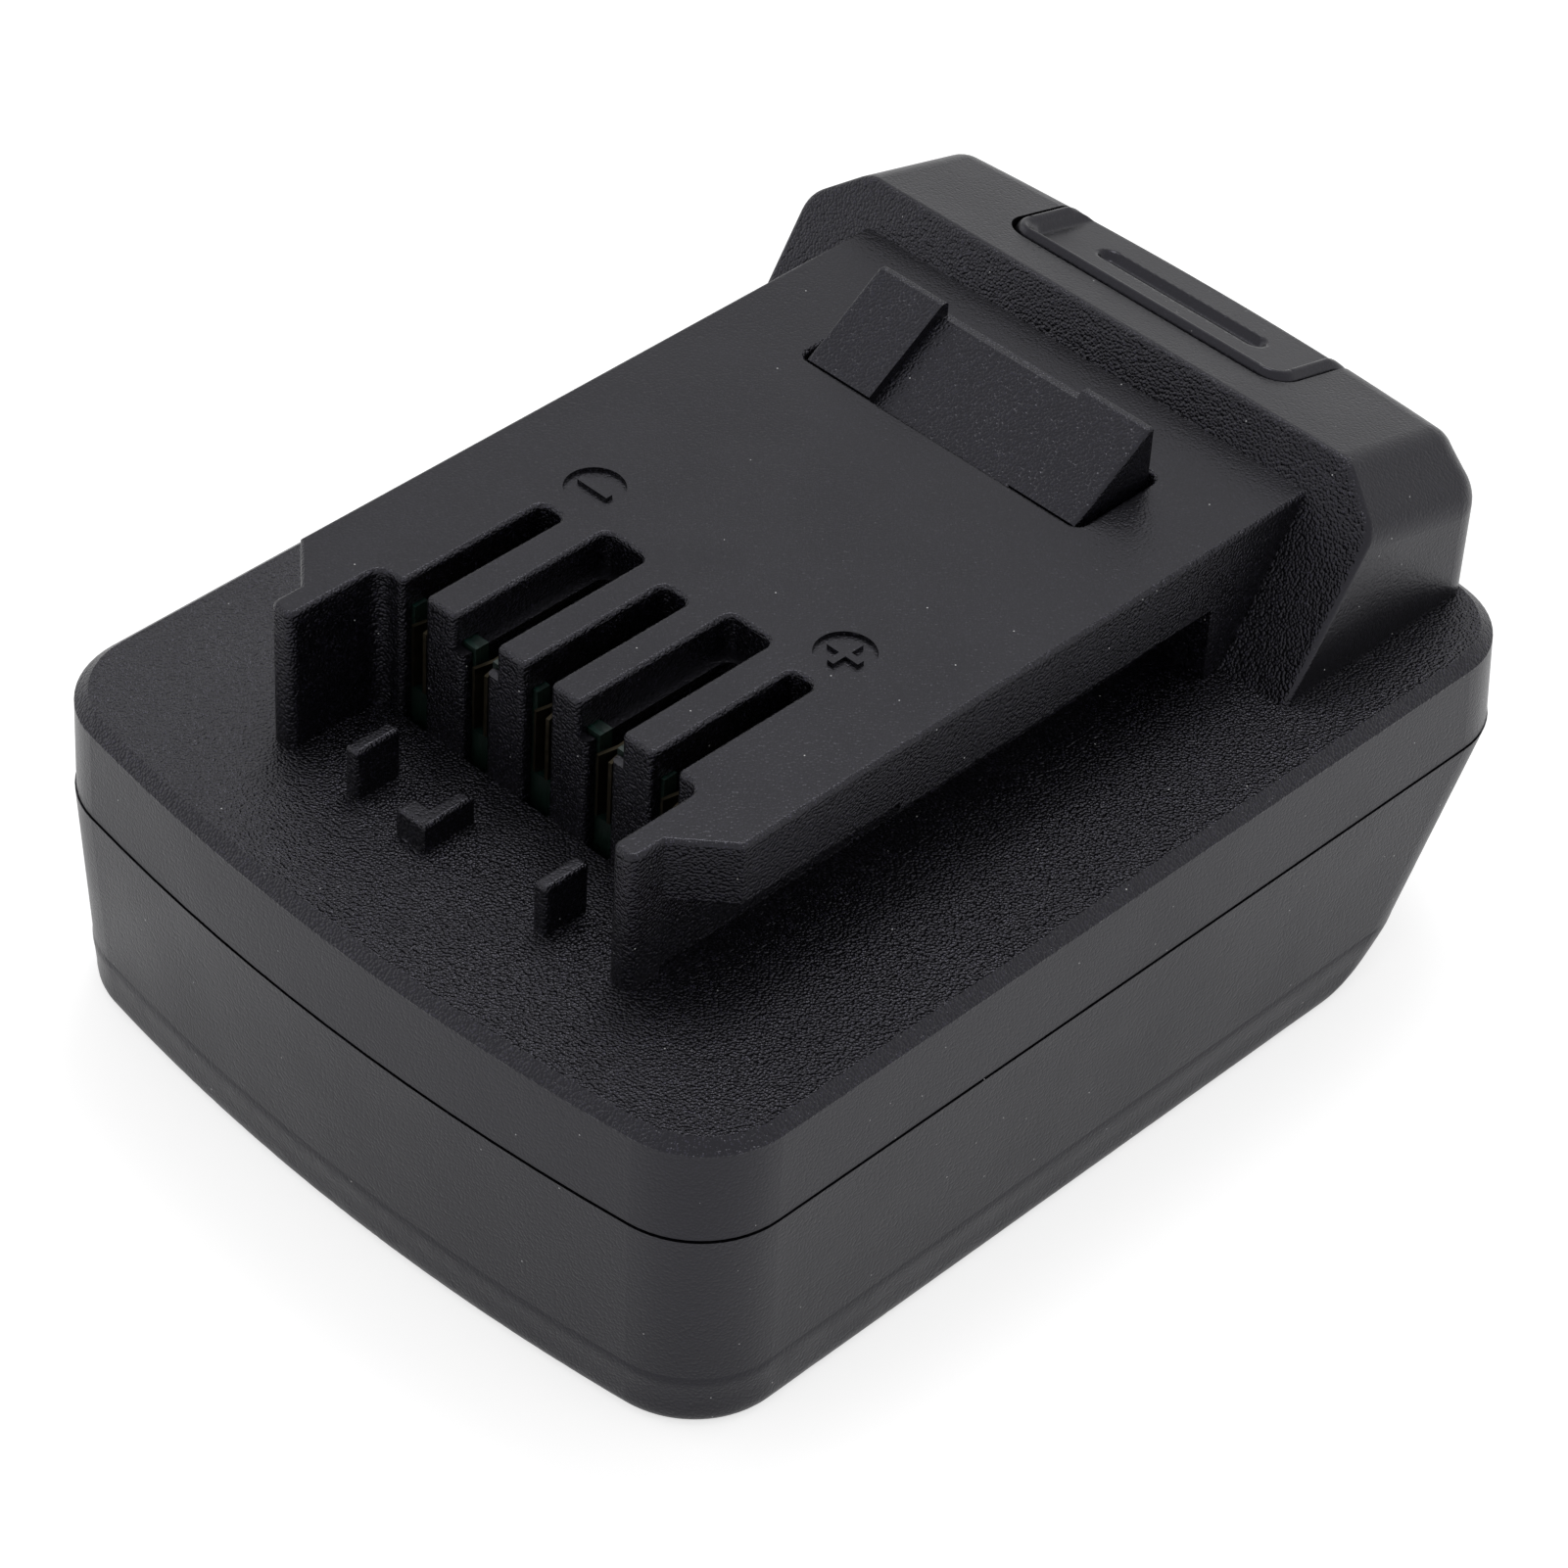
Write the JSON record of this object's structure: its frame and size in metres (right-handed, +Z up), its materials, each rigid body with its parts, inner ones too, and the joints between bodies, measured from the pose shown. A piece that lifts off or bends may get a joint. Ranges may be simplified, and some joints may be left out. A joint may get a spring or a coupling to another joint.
{
  "type": "power tool power supply",
  "caption": "Slide-on rechargeable battery pack with rail platform, terminal slots, spring latch hook and release button on a sloped rear block, in a black split case",
  "frame": {"origin": "middle of the surface that the pack stands on, the bottom centre of its box", "axes": "X across the pack, Y along it towards the release button, Z up; the terminals face -Y"},
  "size_m": [0.0802, 0.1068, 0.052],
  "materials": {
    "upper_case": "grained black moulded plastic",
    "lower_case": "fine satin black moulded plastic",
    "screws": "zinc plated steel",
    "latch": "finely grained black moulded plastic",
    "button": "fine satin black moulded plastic",
    "springs": "spring steel",
    "holders": "plain black plastic",
    "insulation": "pressed fibre sheet",
    "boards": "green solder mask",
    "terminal_base": "plain black plastic",
    "chips": "black moulded epoxy",
    "fuse": "ceramic",
    "wires": "red insulated wire",
    "pad": "black foam",
    "cells": "blue shrink sleeve",
    "strips": "nickel strip",
    "contacts": "plated copper alloy"
  },
  "bodies": {
    "case": {"upper_case": "upper_case", "lower_case": "lower_case", "case_screws": "screws", "spring_left": "springs", "spring_right": "springs", "cell_holder_lower": "holders", "cell_holder_upper": "holders", "insulation_sheet": "insulation", "circuit_board": "boards", "contact_board": "boards", "terminal_block": "terminal_base", "controller_chip": "chips", "transistor_1": "chips", "transistor_2": "chips", "fuse": "fuse", "thermistor": "chips", "sense_wires": "wires", "rear_pad": "pad", "cell_1": "cells", "cell_2": "cells", "cell_3": "cells", "cell_4": "cells", "cell_5": "cells", "strip_1": "strips", "strip_2": "strips", "strip_3": "strips", "strip_4": "strips", "strip_5": "strips", "strip_6": "strips", "contact_1": "contacts", "contact_2": "contacts", "contact_3": "contacts", "contact_4": "contacts", "contact_5": "contacts"},
    "latch": {"latch_hook": "latch", "release_button": "button"}
  },
  "joints": [
    {"name": "latch_release", "type": "slide", "parent": "case", "child": "latch", "axis": [0, 0, 1], "range_m": [-0.0056, 0], "stiffness_N_per_m": 600, "springref_m": 0.004, "deforming": ["spring_left", "spring_right"]}
  ]
}
